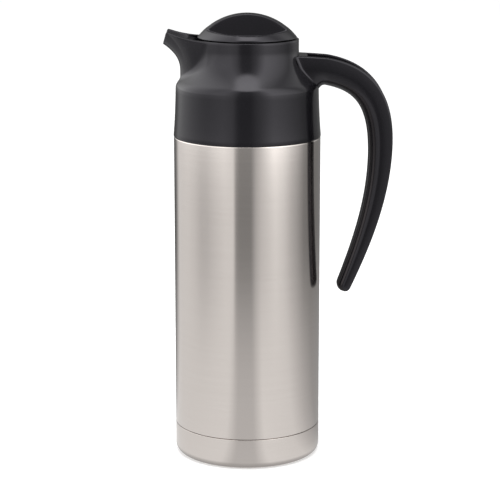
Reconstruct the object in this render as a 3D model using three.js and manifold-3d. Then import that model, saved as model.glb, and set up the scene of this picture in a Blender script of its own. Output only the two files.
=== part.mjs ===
// Vacuum creamer: a double-walled steel vessel under a moulded collar with spout and handle,
// closed by a screw-in stopper under a domed cap.
// Millimetres, +Z up. The origin is the centre of the base, +X points to the handle, -X to the spout.
import * as THREE from "three";
import { mergeVertices } from "three/addons/utils/BufferGeometryUtils.js";
import Module from "manifold-3d";

const wasm = await Module();
wasm.setup();

// Fits between pieces
const seatGap = 0.1;
const fitGap = 0.3;
const roundSegments = 32;

// Steel vessel
const bodyRadius = 45;
const shellWall = 0.6;
const linerWall = 0.5;
const vacuumGap = 4.2;
const floorGap = 5;
const linerFloorHeight = 12.6;
const linerCornerRadius = 12;
const neckGap = 1.2;
const shoulderRise = 22;
const neckBeadHeight = 0.7;
const endFlangeHeight = 5;
const portRadius = 1.2;
const getterRadius = 5;
const getterHeight = 2.2;
const getterOffset = 18;

// Base cup
const baseHeight = 19.3;
const seamGap = 0.4;
const baseCornerRadius = 5;
const baseBeadHeight = 1.5;
const baseDiscRadius = 18;
const baseRingRadius = 34;

// Collar
const collarSeatHeight = 200.3;
const collarHeight = 59.6;
const collarWall = 2;
const skirtProud = 0.2;
const skirtDraft = 1.4;
const skirtHeight = 31.5;
const collarNeckRadius = 31.5;
const collarNeckWall = 2.2;
const galleryDepth = 20;
const ledgeWall = 2.5;
const ledgeWidth = 2.2;

// Spout
const spoutReach = 51.1;
const spoutLean = 2.1;
const spoutRise = 5;
const spoutLipDrop = 3.2;
const spoutLipHalfWidth = 10.7;
const spoutWall = 2.2;
const keelRadius = 18.6;
const keelInset = 3.2;
const spoutRootInset = 8.3;
const spoutRootRoundness = 1.35;
const spoutTipRoundness = 1.6;

// Handle
const handleTopDrop = 18.1;
const handleReach = 36.4;
const handleBendDrop = 47.3;
const handleLowerDrop = 91.3;
const handleTipInset = 23.3;
const handleRootDepth = 17.7;
const handleBendDepth = 14.6;
const handleTipDepth = 8.3;
const handleRootHalfWidth = 12;
const handleTipHalfWidth = 9.5;
const handleRimWall = 2.8;
const channelShare = 0.5;
const screwSpacing = 6;
const screwRadius = 1.1;
const screwHeadRadius = 2;
const screwLength = 12.5;
const screwHeadHeight = 1.8;
const screwRise = 3;
const bossInset = 8.3;
const bossWall = 0.9;
const rootFlareDepth = 3.2;
const rootFlareLength = 4.8;
const handleRimEdge = 1.2;
const fingerRoundStart = 0.2;
const channelEdge = 1.8;

// Neck sleeve and gaskets
const gasketThickness = 0.9;
const sleeveWall = 2;
const sleeveFlange = 2;
const sleeveSkirtWall = 2.2;
const galleryGap = 2.3;
const sealLedge = 2.4;
const threadStarts = 3;
const threadLead = 15;
const threadHeight = 1.4;
const threadClearance = 0.6;
const threadRootWidth = 2;
const threadCrestWidth = 1.3;
const femaleArc = 130;
const maleArc = 95;

// Stopper and cap
const lidOverlap = 0.3;
const lidGap = 0.8;
const lidEdge = 0.85;
const domeRise = 13.9;
const scoopLip = 3.3;
const scoopDepth = 2.2;
const scoopSideRise = 2.5;
const ridgeHalfWidth = 5.6;
const ridgeSpread = 3;
const plugGap = 1;
const plugDepth = 8;
const cupWall = 2;
const capSeatDrop = 1.5;
const capFlangeWidth = 3.5;
const capFlangeWall = 2;
const spigotDepth = 6;
const spigotWall = 2.2;
const sealThickness = 1.5;
const oringWidth = 1.5;

// Points of a profile: radius or distance first, height second
const p = (x, z) => new THREE.Vector2(x, z);

// Evenly spaced points of a circular arc, angles in degrees
function arc(cx, cz, radius, from, to, steps) {
  return Array.from({ length: steps + 1 }, (unused, i) => {
    const a = THREE.MathUtils.degToRad(from + ((to - from) * i) / steps);
    return p(cx + radius * Math.cos(a), cz + radius * Math.sin(a));
  });
}

// Points of a smooth curve from a start to an end with one or two guides
function bend(points, steps) {
  const Curve = points.length === 3 ? THREE.QuadraticBezierCurve : THREE.CubicBezierCurve;
  return new Curve(...points).getPoints(steps);
}

// A copy of a profile moved sideways by a distance, to its right for a positive one
function offset(points, distance) {
  return points.map((point, i) => {
    const before = points[Math.max(i - 1, 0)];
    const after = points[Math.min(i + 1, points.length - 1)];
    const first = point.clone().sub(before).normalize();
    const second = after.clone().sub(point).normalize();
    const along = first.add(second).normalize();
    const turn = i > 0 && i < points.length - 1 ? along.dot(after.clone().sub(point).normalize()) : 1;
    const step = distance / Math.max(turn, 0.5);
    return p(point.x + along.y * step, point.y - along.x * step);
  });
}

// One closed body: shared corners joined, no flat triangles, faces outward
function closed(geometry) {
  let bare = geometry;
  bare.deleteAttribute("normal");
  bare.deleteAttribute("uv");
  bare = mergeVertices(bare, 1e-4);
  const at = bare.getAttribute("position");
  const corner = (i) => new THREE.Vector3().fromBufferAttribute(at, i);
  const faces = [];
  let volume = 0;
  for (let i = 0; i < bare.index.count; i += 3) {
    const [a, b, c] = [0, 1, 2].map((k) => bare.index.getX(i + k));
    if (a !== b && b !== c && c !== a) {
      faces.push([a, b, c]);
      volume += corner(a).dot(corner(b).cross(corner(c)));
    }
  }
  const order = volume < 0 ? [0, 2, 1] : [0, 1, 2];
  bare.setIndex(faces.flatMap((face) => order.map((k) => face[k])));
  return bare;
}

// A profile turned about the vessel axis
function turned(profile, segments = roundSegments) {
  const geometry = new THREE.LatheGeometry([...profile, profile[0]], segments);
  return closed(geometry.rotateX(Math.PI / 2));
}

// A skin over a row of closed sections with the same number of points
function lofted(sections) {
  const count = sections[0].length;
  const faces = [];
  for (let i = 0; i + 1 < sections.length; i += 1) {
    for (let k = 0; k < count; k += 1) {
      const [a, b] = [i * count + k, i * count + ((k + 1) % count)];
      faces.push(a, b, b + count, a, b + count, a + count);
    }
  }
  for (const [i, flip] of [[0, true], [sections.length - 1, false]]) {
    const base = i * count;
    for (let k = 1; k + 1 < count; k += 1) {
      faces.push(base, base + (flip ? k + 1 : k), base + (flip ? k : k + 1));
    }
  }
  const geometry = new THREE.BufferGeometry();
  geometry.setFromPoints(sections.flat());
  geometry.setIndex(faces);
  return closed(geometry);
}

// Booleans on closed geometry
function solid(geometry) {
  const vertProperties = new Float32Array(geometry.getAttribute("position").array);
  const triVerts = new Uint32Array(geometry.index.array);
  return new wasm.Manifold(new wasm.Mesh({ numProp: 3, vertProperties, triVerts }));
}

function skin(body) {
  const mesh = body.getMesh();
  const geometry = new THREE.BufferGeometry();
  geometry.setAttribute("position", new THREE.BufferAttribute(mesh.vertProperties, 3));
  geometry.setIndex(new THREE.BufferAttribute(mesh.triVerts, 1));
  return geometry;
}

const join = (first, ...rest) => skin(rest.reduce((sum, g) => sum.add(solid(g)), solid(first)));
const cut = (first, ...rest) => skin(rest.reduce((sum, g) => sum.subtract(solid(g)), solid(first)));
const common = (first, second) => skin(solid(first).intersect(solid(second)));

// A rod along +X
function rod(radius, from, to, y, z, segments = 12) {
  const geometry = new THREE.CylinderGeometry(radius, radius, to - from, segments);
  geometry.rotateZ(Math.PI / 2);
  geometry.translate((from + to) / 2, y, z);
  return closed(geometry);
}

// One helical ridge: root radius inside its wall, crest radius at the tip, both ends run out
function ridge(root, crest, startAngle, span, startHeight) {
  const steps = Math.ceil(span / 10);
  const sections = [];
  for (let i = 0; i <= steps; i += 1) {
    const degrees = (span * i) / steps;
    const a = THREE.MathUtils.degToRad(startAngle + degrees);
    const z = startHeight + (threadLead * degrees) / 360;
    const edge = i === 0 || i === steps ? 0.35 : 1;
    const tip = root + (crest - root) * edge;
    const at = (r, dz) => new THREE.Vector3(r * Math.cos(a), r * Math.sin(a), z + dz);
    const [w, t] = [threadRootWidth / 2, (threadCrestWidth / 2) * edge];
    sections.push([at(root, -w), at(tip, -t), at(tip, t), at(root, w)]);
  }
  return lofted(sections);
}

// Radii of the neck's pieces, from the collar inwards
const galleryRadius = collarNeckRadius - collarNeckWall;
const lidRadius = galleryRadius + lidOverlap;
const sleeveBore = galleryRadius - galleryGap - sleeveWall;
const sleeveHole = galleryRadius - ledgeWidth;
const sleeveLower = sleeveHole - fitGap - sleeveSkirtWall;
const shellNeck = sleeveLower - fitGap;
const mouthRadius = shellNeck - shellWall - neckGap - linerWall;
const plugRadius = mouthRadius - plugGap;

// Heights that follow from the sizes
const rimZ = collarSeatHeight + collarHeight;
const shoulderZ = collarSeatHeight + skirtHeight;
const ledgeTopZ = rimZ - galleryDepth;
const flangeZ = ledgeTopZ + gasketThickness + 2 * seatGap;
const sealLedgeZ = flangeZ + 0.3;
const mouthZ = sealLedgeZ - sealLedge - gasketThickness - 2 * seatGap;
const cupShoulderZ = sealLedgeZ + sealThickness + 2 * seatGap;
const femaleZ = cupShoulderZ + 2.6;
const threadPitch = threadLead / threadStarts;
const maleStart = (360 * (threadPitch / 2 - 1.4)) / threadLead;
const sleeveTopZ = femaleZ + (threadLead * femaleArc) / 360 + threadRootWidth / 2 + 0.4;
const capSeatZ = rimZ - capSeatDrop;
const capEdgeZ = rimZ + lidGap;

// Base cup: pressed foot with a rounded edge and a stiffening ring
const cupInner = bodyRadius - shellWall;
const cupCorner = bodyRadius - baseCornerRadius;
const baseCup = turned([
  p(0, 0),
  p(baseDiscRadius, 0),
  p(baseDiscRadius + 2, baseBeadHeight),
  p(baseRingRadius - 2, baseBeadHeight),
  p(baseRingRadius, 0),
  ...arc(cupCorner, baseCornerRadius, baseCornerRadius, -90, 0, 4),
  p(bodyRadius, baseHeight - seamGap),
  p(cupInner, baseHeight - seamGap),
  ...arc(cupCorner, baseCornerRadius, baseCornerRadius - shellWall, 0, -90, 3),
  p(baseRingRadius, shellWall),
  p(baseRingRadius - 2, baseBeadHeight + shellWall),
  p(baseDiscRadius + 2, baseBeadHeight + shellWall),
  p(baseDiscRadius, shellWall),
  p(0, shellWall),
]);

// Outer shell: stepped foot inside the base cup, straight wall, step under the collar, shoulder, neck
const footRadius = cupInner - fitGap;
const topStepRadius = bodyRadius - 1.8;
const stepZ = collarSeatHeight - seatGap;
const shoulderFootZ = stepZ + 5;
const neckFootZ = shoulderFootZ + shoulderRise;
const shellTopZ = mouthZ - linerWall - seatGap;
const beadZ = (neckFootZ + shellTopZ) / 2;
const shellCurve = bend([
  p(topStepRadius, shoulderFootZ),
  p(topStepRadius, shoulderFootZ + shoulderRise * 0.65),
  p(shellNeck, neckFootZ - shoulderRise * 0.55),
  p(shellNeck, neckFootZ),
], 6);
const shellOutside = [
  p(footRadius, baseCornerRadius + 1),
  p(footRadius, baseHeight),
  p(bodyRadius - 0.3, baseHeight),
  p(bodyRadius, baseHeight + 0.3),
  ...arc(bodyRadius - 0.9, stepZ - 0.9, 0.9, 0, 90, 2),
  p(topStepRadius, stepZ),
  ...shellCurve,
];
const shellInside = [
  p(footRadius - shellWall, baseCornerRadius + 1),
  p(footRadius - shellWall, baseHeight + shellWall),
  p(bodyRadius - shellWall, baseHeight + 2 * shellWall),
  p(bodyRadius - shellWall, stepZ - 1.2),
  p(topStepRadius - shellWall, stepZ - shellWall),
  ...offset(shellCurve, -shellWall),
];
const outerShell = turned([
  ...shellOutside,
  p(shellNeck, beadZ - 1.2),
  p(shellNeck + neckBeadHeight, beadZ - 0.4),
  p(shellNeck + neckBeadHeight, beadZ + 0.4),
  p(shellNeck, beadZ + 1.2),
  p(shellNeck, shellTopZ),
  p(shellNeck - shellWall, shellTopZ),
  ...shellInside.reverse(),
]);

// Shell bottom: flanged end plate with a raised port
const plateRadius = footRadius - shellWall - fitGap;
const plateZ = linerFloorHeight - floorGap - shellWall;
const shellBottom = turned([
  p(portRadius, plateZ + 1),
  p(portRadius + 4, plateZ + 1),
  p(portRadius + 5, plateZ),
  p(plateRadius - 1.5, plateZ),
  p(plateRadius, plateZ + 1.5),
  p(plateRadius, plateZ + endFlangeHeight),
  p(plateRadius - shellWall, plateZ + endFlangeHeight),
  p(plateRadius - shellWall, plateZ + 1.7),
  p(plateRadius - 1.7, plateZ + shellWall),
  p(portRadius + 4.7, plateZ + shellWall),
  p(portRadius + 3.8, plateZ + 1 + shellWall),
  p(portRadius, plateZ + 1 + shellWall),
]);

// Seal bead under the port, getter pill and its strap on the end plate
const sealBead = turned([
  p(0, plateZ + 1 - seatGap),
  p(portRadius + 2.2, plateZ + 1 - seatGap),
  p(portRadius + 1.6, plateZ),
  p(portRadius + 0.4, plateZ - 0.5),
  p(0, plateZ - 0.6),
], 16);
const getterZ = plateZ + shellWall + seatGap;
const getterCapsule = turned([
  p(0, getterZ),
  p(getterRadius, getterZ),
  p(getterRadius, getterZ + getterHeight - 0.5),
  p(getterRadius - 0.5, getterZ + getterHeight),
  p(0, getterZ + getterHeight),
], 20);
getterCapsule.translate(getterOffset, 0, 0);
const strapReach = getterRadius + fitGap;
const strapTop = getterHeight + fitGap;
const strap = new THREE.Shape([
  p(-strapReach - 3, 0),
  p(-strapReach, 0),
  p(-strapReach, strapTop),
  p(strapReach, strapTop),
  p(strapReach, 0),
  p(strapReach + 3, 0),
  p(strapReach + 3, 0.4),
  p(strapReach + 0.4, 0.4),
  p(strapReach + 0.4, strapTop + 0.4),
  p(-strapReach - 0.4, strapTop + 0.4),
  p(-strapReach - 0.4, 0.4),
  p(-strapReach - 3, 0.4),
]);
const getterStrap = new THREE.ExtrudeGeometry(strap, { depth: 3, bevelEnabled: false });
getterStrap.rotateX(Math.PI / 2);
getterStrap.translate(getterOffset, 1.5, getterZ);

// Inner liner: straight wall, shoulder, neck and a lip over the end of the shell's neck
const linerRadius = bodyRadius - shellWall - vacuumGap - linerWall;
const linerJoinZ = linerFloorHeight + linerCornerRadius + 1.5;
const linerShoulderZ = shoulderFootZ - 6;
const linerNeckZ = neckFootZ - 6;
const linerCurve = bend([
  p(linerRadius, linerShoulderZ),
  p(linerRadius, linerShoulderZ + shoulderRise * 0.65),
  p(mouthRadius, linerNeckZ - shoulderRise * 0.55),
  p(mouthRadius, linerNeckZ),
], 6);
const innerLiner = turned([
  p(linerRadius, linerJoinZ),
  ...linerCurve,
  p(mouthRadius, mouthZ),
  p(shellNeck, mouthZ),
  p(shellNeck, mouthZ - linerWall),
  p(mouthRadius + linerWall, mouthZ - linerWall),
  ...offset(linerCurve, linerWall).reverse(),
  p(linerRadius + linerWall, linerJoinZ),
]);

// Liner bottom: dished end welded to the liner
const dishCorner = linerRadius + linerWall - linerCornerRadius;
const dishZ = linerFloorHeight + linerCornerRadius;
const linerBottom = turned([
  p(0, linerFloorHeight),
  ...arc(dishCorner, dishZ, linerCornerRadius, -90, 0, 4),
  p(linerRadius + linerWall, linerJoinZ - seatGap),
  p(linerRadius, linerJoinZ - seatGap),
  ...arc(dishCorner, dishZ, linerCornerRadius - linerWall, 0, -90, 4),
  p(0, linerFloorHeight + linerWall),
]);

// Collar: skirt on the shell's step, rounded shoulder, flare, straight neck
const skirtFoot = bodyRadius + skirtProud;
const skirtTop = skirtFoot - skirtDraft;
const shoulderFoot = p(skirtTop, shoulderZ - 3.2);
const flareFoot = p(skirtTop - 2.9, shoulderZ + 2.8);
const collarOutside = [
  p(skirtFoot - 0.4, collarSeatHeight),
  p(skirtFoot, collarSeatHeight + 0.5),
  ...bend([p(skirtFoot, collarSeatHeight + 0.5), p(skirtTop + 0.3, shoulderZ - 18.8), shoulderFoot], 4)
    .slice(1),
  ...bend([shoulderFoot, p(skirtTop - 0.2, shoulderZ + 0.2), flareFoot], 4).slice(1),
  ...bend([flareFoot, p(collarNeckRadius, flareFoot.y + 9.2), p(collarNeckRadius, flareFoot.y + 16.9)], 6)
    .slice(1),
  p(collarNeckRadius, rimZ - 0.8),
  p(collarNeckRadius - 0.8, rimZ),
];
const ledgeBottomZ = ledgeTopZ - ledgeWall;
const underFlare = offset(collarOutside.slice(3), -collarWall)
  .filter((point) => point.y < ledgeBottomZ - 0.5);
const skirtInside = topStepRadius + fitGap;
const collarHollow = turned([
  p(0, collarSeatHeight - 5),
  p(skirtInside, collarSeatHeight - 5),
  p(skirtInside, collarSeatHeight + 6),
  ...underFlare,
  p(underFlare[underFlare.length - 1].x - 1, ledgeBottomZ),
  p(sleeveHole, ledgeBottomZ),
  p(sleeveHole, ledgeTopZ),
  p(galleryRadius, ledgeTopZ),
  p(galleryRadius, rimZ + 10),
  p(0, rimZ + 10),
]);
const collarBlank = turned([p(0, collarSeatHeight), ...collarOutside, p(0, rimZ)]);

// Spout: U sections on planes that fan from the rim line to the keel arc
const keelRoot = skirtTop - keelInset;
const keelCentre = keelRoot + keelRadius;
const keelEnd = Math.acos((keelCentre - spoutReach) / keelRadius);
const keelZ = rimZ - spoutLipDrop - keelRadius * Math.sin(keelEnd);
const spoutRootX = collarNeckRadius - spoutRootInset;
const spoutRootHalf = Math.sqrt(collarNeckRadius ** 2 - spoutRootX ** 2);
const spoutTipX = spoutReach - spoutLean;

function spoutSection(rim, keel, half, lift, roundness) {
  const steps = 12;
  return Array.from({ length: steps + 1 }, (unused, i) => {
    const a = Math.PI * (i / steps);
    const side = Math.cos(a);
    const y = half * Math.sign(side) * Math.abs(side) ** (2 / roundness);
    const s = Math.sin(a) ** (2 / roundness);
    const top = i === 0 || i === steps ? lift : 0;
    return new THREE.Vector3(-rim.x - (keel.x - rim.x) * s, y, rim.y + (keel.y - rim.y) * s + top);
  });
}

function spoutSections(inset, lift, startAngle, stations, rootZ) {
  const rows = stations.map((t) => {
    const out = Math.max(t, 0);
    const rim = p(spoutRootX + (spoutTipX - spoutRootX) * t, rimZ + spoutRise * out * out);
    const a = startAngle + (keelEnd - startAngle) * out + Math.min(t, 0);
    const radius = keelRadius + inset;
    const keel = p(keelCentre - radius * Math.cos(a), keelZ + radius * Math.sin(a));
    const half = spoutRootHalf + (spoutLipHalfWidth - spoutRootHalf) * t - inset;
    const far = Math.max(out, -5 * t);
    const roundness = spoutRootRoundness + (spoutTipRoundness - spoutRootRoundness) * far;
    return spoutSection(rim, keel, half, lift, roundness);
  });
  const inner = p(0.5 * spoutRootX, rimZ);
  const innerHalf = spoutRootHalf - inset;
  const root = spoutSection(inner, p(2 * inner.x, rootZ), innerHalf, lift, spoutRootRoundness);
  return lofted([root, ...rows]);
}

const beak = spoutSections(0, 0, -0.16, [-0.2, -0.1, 0, 0.2, 0.4, 0.6, 0.8, 1], keelZ - 4);
const troughZ = keelZ + (keelRadius + spoutWall) * Math.sin(0.16);
const trough = spoutSections(spoutWall, 3, 0.16, [0, 0.25, 0.5, 0.75, 1, 1.2], troughZ);

// Screw bosses inside the collar, where the handle is drawn tight
const screwZ = shoulderZ + screwRise;
const bossX = skirtTop - bossInset;
const sides = [-screwSpacing, screwSpacing];
const bossRadius = screwHeadRadius + bossWall;
const bosses = sides.map((y) => common(rod(bossRadius, bossX, skirtTop, y, screwZ), collarBlank));
const boreEnd = bossX + screwLength + bossWall;
const bores = sides.map((y) => rod(screwRadius + fitGap, bossX - bossInset, boreEnd, y, screwZ));
const collar = cut(join(cut(join(collarBlank, beak), collarHollow, trough), ...bosses), ...bores);

// Handle screws: pan head inside the collar, shank into the handle
function screw(y) {
  const headX = bossX - seatGap - screwHeadHeight;
  const shank = rod(screwRadius, headX + screwHeadHeight / 2, bossX + screwLength, y, screwZ);
  const head = rod(screwHeadRadius, headX, bossX - seatGap, y, screwZ);
  const slotSize = [0.76 * screwHeadHeight, 0.3 * screwHeadRadius, 2.4 * screwHeadRadius];
  const slot = new THREE.BoxGeometry(...slotSize);
  slot.translate(headX, y, screwZ);
  return cut(join(head, shank), closed(slot));
}

// Handle: a centre line of two curves with its own depth and width at every station
const handleX = bodyRadius + handleReach;
const handleZ = rimZ - handleTopDrop;
const bendZ = handleZ - handleBendDrop;
const tip = p(handleX - handleTipInset, bendZ - handleLowerDrop);
const upper = new THREE.CubicBezierCurve(
  p(0.9 * collarNeckRadius, handleZ),
  p(collarNeckRadius + (handleX - collarNeckRadius) * 0.678, handleZ),
  p(handleX, bendZ + handleBendDrop * 0.752),
  p(handleX, bendZ),
);
const lower = new THREE.CubicBezierCurve(
  p(handleX, bendZ),
  p(handleX, bendZ - handleLowerDrop * 0.363),
  p(tip.x + handleTipInset * 0.489, tip.y + handleLowerDrop * 0.296),
  tip,
);

function handleStation(u) {
  const [curve, t] = u <= 1 ? [upper, u] : [lower, u - 1];
  const at = curve.getPoint(t);
  const along = curve.getTangent(t);
  const out = p(-along.y, along.x);
  const depth = u <= 1
    ? handleRootDepth + (handleBendDepth - handleRootDepth) * t * t
    : handleBendDepth + (handleTipDepth - handleBendDepth) * t;
  const half = handleRootHalfWidth + (handleTipHalfWidth - handleRootHalfWidth) * (u / 2);
  const nearRoot = THREE.MathUtils.clamp(1 - (at.x - skirtTop) / rootFlareLength, 0, 1.5);
  const flare = rootFlareDepth * nearRoot ** 2;
  return { at, out, up: depth / 2, down: depth / 2 + (u <= 1 ? flare : 0), half };
}

function handleSection(u, inset) {
  const { at, out, up, down, half } = handleStation(u);
  const [a, b, h] = [up - inset, down - inset, half - inset];
  const rim = Math.min(handleRimEdge, 0.5 * a);
  const start = fingerRoundStart * a;
  const finger = [18, 36, 54, 74].map((turn) => {
    const t = THREE.MathUtils.degToRad(turn);
    return [start - 1.037 * (b + start) * Math.sin(t) ** 0.92, h * Math.cos(t) ** 0.92];
  });
  const outline = [[a, h - rim], [a - rim, h], [start, h], ...finger];
  const ring = [...outline, ...outline.map(([n, y]) => [n, -y]).reverse()];
  return ring.map(([n, y]) => new THREE.Vector3(at.x + out.x * n, y, at.y + out.y * n));
}

function channelSection(u, rise) {
  const { at, out, up, half } = handleStation(u);
  const floor = up - 2 * up * channelShare * rise;
  const wide = half - handleRimWall;
  const ring = [
    [up + handleRimWall, wide],
    [floor + 0.83 * channelEdge, wide - 0.17 * channelEdge],
    [floor, wide - channelEdge],
  ];
  return [...ring, ...ring.map(([n, y]) => [n, -y]).reverse()]
    .map(([n, y]) => new THREE.Vector3(at.x + out.x * n, y, at.y + out.y * n));
}

const rootRows = [0, 0.12, 0.145, 0.16, 0.178, 0.2];
const handleRows = [...rootRows, 0.25, 0.38, 0.5, 0.62, 0.75, 0.87, 1, 1.2, 1.4, 1.6, 1.8, 1.955];
const tipRows = [[1.97, 0.03], [1.985, 0.11], [1.995, 0.24], [2, 0.37]];
const handleBlank = lofted([
  ...handleRows.map((u) => handleSection(u, 0)),
  ...tipRows.map(([u, share]) => handleSection(u, share * handleTipDepth)),
]);
const channelRows = [0.25, 0.38, 0.5, 0.62, 0.75, 0.87, 1, 1.2, 1.4, 1.6, 1.8];
const channel = lofted([
  channelSection(0.085, 0.4),
  channelSection(0.14, 1),
  ...channelRows.map((u) => channelSection(u, 1)),
  channelSection(1.88, 0.45),
]);
const collarRoom = turned([
  p(0, collarSeatHeight - 5),
  p(skirtFoot + fitGap, collarSeatHeight - 5),
  ...offset(collarOutside.slice(1), fitGap),
  p(collarNeckRadius + fitGap, rimZ + 5),
  p(0, rimZ + 5),
]);
const handle = cut(handleBlank, collarRoom, channel, ...bores);

// Neck sleeve: snapped over the neck bead, it clamps the collar and carries the female thread
const sleeveSkirtZ = beadZ - 3;
const grooveRadius = sleeveLower + neckBeadHeight;
const sleeveBlank = turned([
  p(sleeveLower, sleeveSkirtZ),
  p(sleeveHole - fitGap, sleeveSkirtZ),
  p(sleeveHole - fitGap, flangeZ),
  p(galleryRadius - fitGap, flangeZ),
  p(galleryRadius - fitGap, flangeZ + sleeveFlange),
  p(sleeveBore + sleeveWall, flangeZ + sleeveFlange),
  p(sleeveBore + sleeveWall, sleeveTopZ),
  p(sleeveBore, sleeveTopZ),
  p(sleeveBore, sealLedgeZ),
  p(mouthRadius + fitGap, sealLedgeZ),
  p(mouthRadius + fitGap, sealLedgeZ - sealLedge),
  p(sleeveLower, sealLedgeZ - sealLedge),
  p(sleeveLower, beadZ + 1.6),
  p(grooveRadius, beadZ + 0.6),
  p(grooveRadius, beadZ - 0.6),
  p(sleeveLower, beadZ - 1.6),
]);
const starts = Array.from({ length: threadStarts }, (unused, i) => (360 * i) / threadStarts);
const femaleRidges = starts.map((a) =>
  ridge(sleeveBore + 0.5, sleeveBore - threadHeight, a, femaleArc, femaleZ));
const neckSleeve = join(sleeveBlank, ...femaleRidges);

// Gaskets: on the steel mouth and under the sleeve's flange
const washer = (inner, outer, z) => turned([
  p(inner, z),
  p(outer, z),
  p(outer, z + gasketThickness),
  p(inner, z + gasketThickness),
]);
const neckGasket = washer(mouthRadius + fitGap, shellNeck, mouthZ + seatGap);
const collarGasket = washer(sleeveHole, galleryRadius - fitGap, ledgeTopZ + seatGap);

// Stopper cup: plug, shoulder over the seal, threaded wall, flange under the cap
const coreRadius = sleeveBore - threadHeight - threadClearance;
const cupBore = coreRadius - cupWall;
const plugZ = mouthZ - plugDepth;
const capFlangeRadius = coreRadius + capFlangeWidth;
const cupTopZ = capSeatZ - seatGap;
const sealHold = sealLedgeZ - 0.3;
const cupBlank = turned([
  p(0, plugZ),
  p(plugRadius - 1, plugZ),
  p(plugRadius, plugZ + 1),
  p(plugRadius, sealHold - 0.9),
  p(plugRadius + 0.6, sealHold - 0.5),
  p(plugRadius + 0.6, sealHold),
  p(plugRadius, sealHold),
  p(plugRadius, cupShoulderZ),
  p(coreRadius, cupShoulderZ),
  p(coreRadius, cupTopZ - capFlangeWall),
  p(capFlangeRadius, cupTopZ - capFlangeWall),
  p(capFlangeRadius, cupTopZ),
  p(cupBore, cupTopZ),
  p(cupBore, cupShoulderZ + 1.5),
  p(plugRadius - cupWall, cupShoulderZ),
  p(plugRadius - cupWall, plugZ + cupWall),
  p(0, plugZ + cupWall),
]);
const maleRidges = starts.map((a) =>
  ridge(coreRadius - 0.5, sleeveBore - threadClearance, a + maleStart, maleArc,
    femaleZ - threadPitch / 2 + (threadLead * maleStart) / 360));
const stopperCup = join(cupBlank, ...maleRidges);

// Seal ring on the plug, pressed on the sleeve's ledge
const plugSeal = turned([
  p(plugRadius + 0.2, sealLedgeZ + seatGap),
  p(sleeveBore - threadHeight - 0.4, sealLedgeZ + seatGap),
  p(sleeveBore - threadHeight - 0.4, sealLedgeZ + 0.6 * sealThickness),
  p(coreRadius - 0.3, cupShoulderZ - seatGap),
  p(plugRadius + 0.2, cupShoulderZ - seatGap),
]);

// Cap: dome with two finger scoops that leave a grip ridge, and a spigot into the stopper cup
const domeRadius = (lidRadius ** 2 + domeRise ** 2) / (2 * domeRise);
const domeZ = capEdgeZ + lidEdge + domeRise - domeRadius;
const domeEdge = THREE.MathUtils.radToDeg(Math.asin((domeRadius - domeRise) / domeRadius));
const spigotRadius = cupBore - fitGap;
const spigotZ = capSeatZ - spigotDepth;
const grooveZ = spigotZ + 1.6;
const capBlank = turned([
  ...arc(0, domeZ, domeRadius, 90, domeEdge, 8),
  p(lidRadius, capEdgeZ + 0.3),
  p(lidRadius - 0.3, capEdgeZ),
  p(capFlangeRadius, capEdgeZ),
  p(capFlangeRadius, capSeatZ),
  p(spigotRadius, capSeatZ),
  p(spigotRadius, grooveZ + oringWidth + 2 * seatGap),
  p(spigotRadius - oringWidth + fitGap, grooveZ + oringWidth + 2 * seatGap),
  p(spigotRadius - oringWidth + fitGap, grooveZ),
  p(spigotRadius, grooveZ),
  p(spigotRadius, spigotZ),
  p(spigotRadius - spigotWall, spigotZ),
  p(spigotRadius - spigotWall, capSeatZ + 1),
  p(0, capSeatZ + 1),
]);
const scoopLipRadius = Math.sqrt(domeRadius ** 2 - (capEdgeZ + scoopLip - domeZ) ** 2);
const scoopBowl = turned([
  p(0, capEdgeZ + scoopLip - scoopDepth),
  ...bend([
    p(scoopLipRadius * 0.45, capEdgeZ + scoopLip - scoopDepth),
    p(scoopLipRadius * 0.8, capEdgeZ + scoopLip - scoopDepth),
    p(scoopLipRadius, capEdgeZ + scoopLip),
  ], 3),
  p(lidRadius + 8, capEdgeZ + scoopLip + 4),
  p(lidRadius + 8, capEdgeZ + 40),
  p(0, capEdgeZ + 40),
]);
const bowlAt = scoopBowl.getAttribute("position");
for (let i = 0; i < bowlAt.count; i += 1) {
  const side = bowlAt.getX(i) / scoopLipRadius;
  bowlAt.setZ(i, bowlAt.getZ(i) + scoopSideRise * side * side);
}

// Plan of one scoop: the ridge's hollowed face, then a wide block beyond the cap
function scoop(side) {
  const face = Array.from({ length: 11 }, (unused, i) => {
    const x = -35 + 7 * i;
    return p(x, ridgeHalfWidth + ridgeSpread * (x / scoopLipRadius) ** 2);
  });
  const plan = new THREE.Shape([...face, p(35, 45), p(-35, 45)]);
  const block = new THREE.ExtrudeGeometry(plan, { depth: 60, bevelEnabled: false });
  block.translate(0, 0, capEdgeZ - 10);
  if (side < 0) {
    block.rotateZ(Math.PI);
  }
  return common(closed(block), scoopBowl);
}

const pocket = new THREE.BoxGeometry(30, 2 * ridgeHalfWidth - 5, domeRise - 4);
pocket.translate(0, 0, capSeatZ + 1 + (domeRise - 4) / 2 - 1);
const lidDome = cut(capBlank, scoop(1), scoop(-1), closed(pocket));

// Ring between spigot and cup, and the foam in the cup
const lidOring = turned([
  p(spigotRadius - oringWidth + fitGap + seatGap, grooveZ + seatGap),
  p(spigotRadius + 0.15, grooveZ + seatGap),
  p(spigotRadius + 0.15, grooveZ + seatGap + oringWidth),
  p(spigotRadius - oringWidth + fitGap + seatGap, grooveZ + seatGap + oringWidth),
]);
const foamRadius = plugRadius - cupWall - fitGap;
const stopperFoam = turned([
  p(0, plugZ + cupWall + seatGap),
  p(foamRadius, plugZ + cupWall + seatGap),
  p(foamRadius, spigotZ - fitGap),
  p(0, spigotZ - fitGap),
], 32);

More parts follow.
